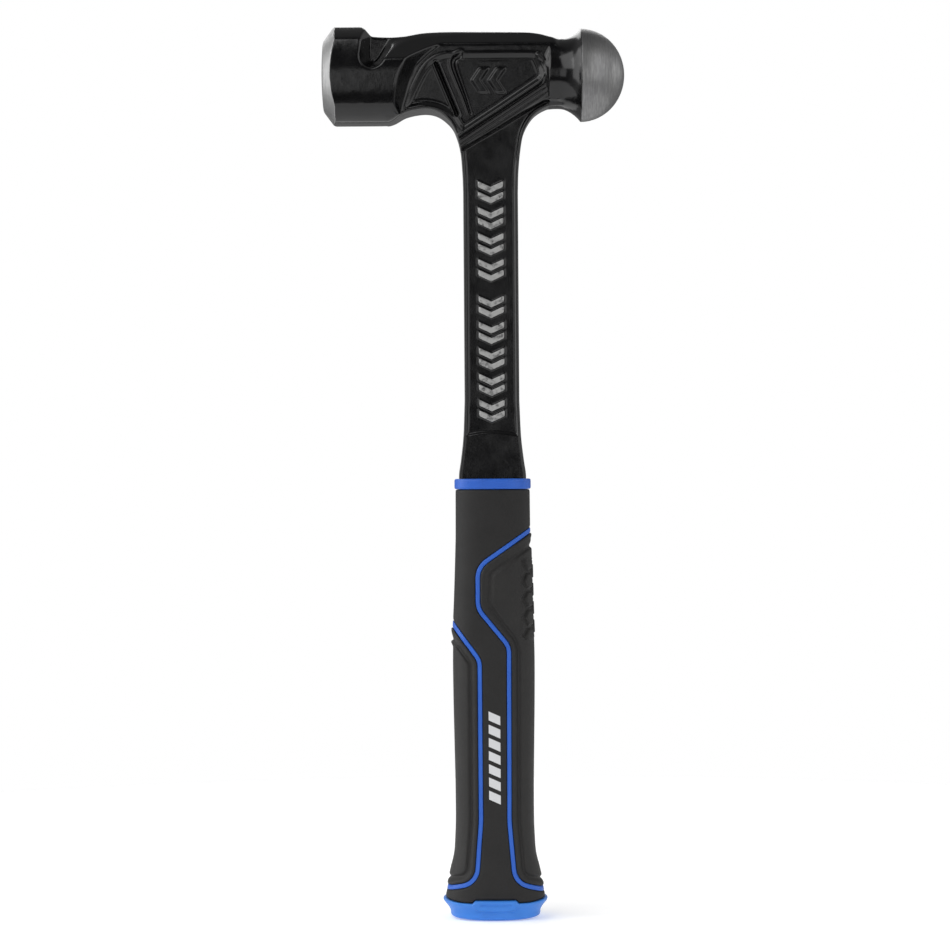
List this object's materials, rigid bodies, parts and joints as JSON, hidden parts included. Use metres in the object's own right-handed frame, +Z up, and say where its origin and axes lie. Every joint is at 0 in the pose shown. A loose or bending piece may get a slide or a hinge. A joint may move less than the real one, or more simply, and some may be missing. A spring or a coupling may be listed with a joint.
{
  "type": "ball peen hammer",
  "caption": "Ball peen hammer for metalwork: one-piece forged steel head and shank with an octagonal poll, a round ball end, and a moulded two-colour cushion grip with a flared butt.",
  "frame": {"origin": "centre of the butt's flat underside, on the handle's axis", "axes": "+Z up the handle towards the head, -X the way the strike face looks, +X the way the ball looks, Y the hammer's thickness"},
  "size_m": [0.1296, 0.0396, 0.3808],
  "materials": {
    "forged_steel": "gloss black enamel, with the strike face and the ball left bare and ground",
    "core_plastic": "moulded, hidden",
    "accent_plastic": "satin blue",
    "cap_plastic": "satin bright blue",
    "grip_rubber": "matte, fine grain",
    "pad_rubber": "matte, coarser grain"
  },
  "bodies": {
    "root": {"forged_body": "forged_steel", "grip_core": "core_plastic", "collar_ring": "accent_plastic", "grip_shell": "grip_rubber", "front_palm_pad": "pad_rubber", "rear_palm_pad": "pad_rubber", "front_accent_loop": "accent_plastic", "rear_accent_loop": "accent_plastic", "butt_cap": "cap_plastic"}
  },
  "joints": []
}
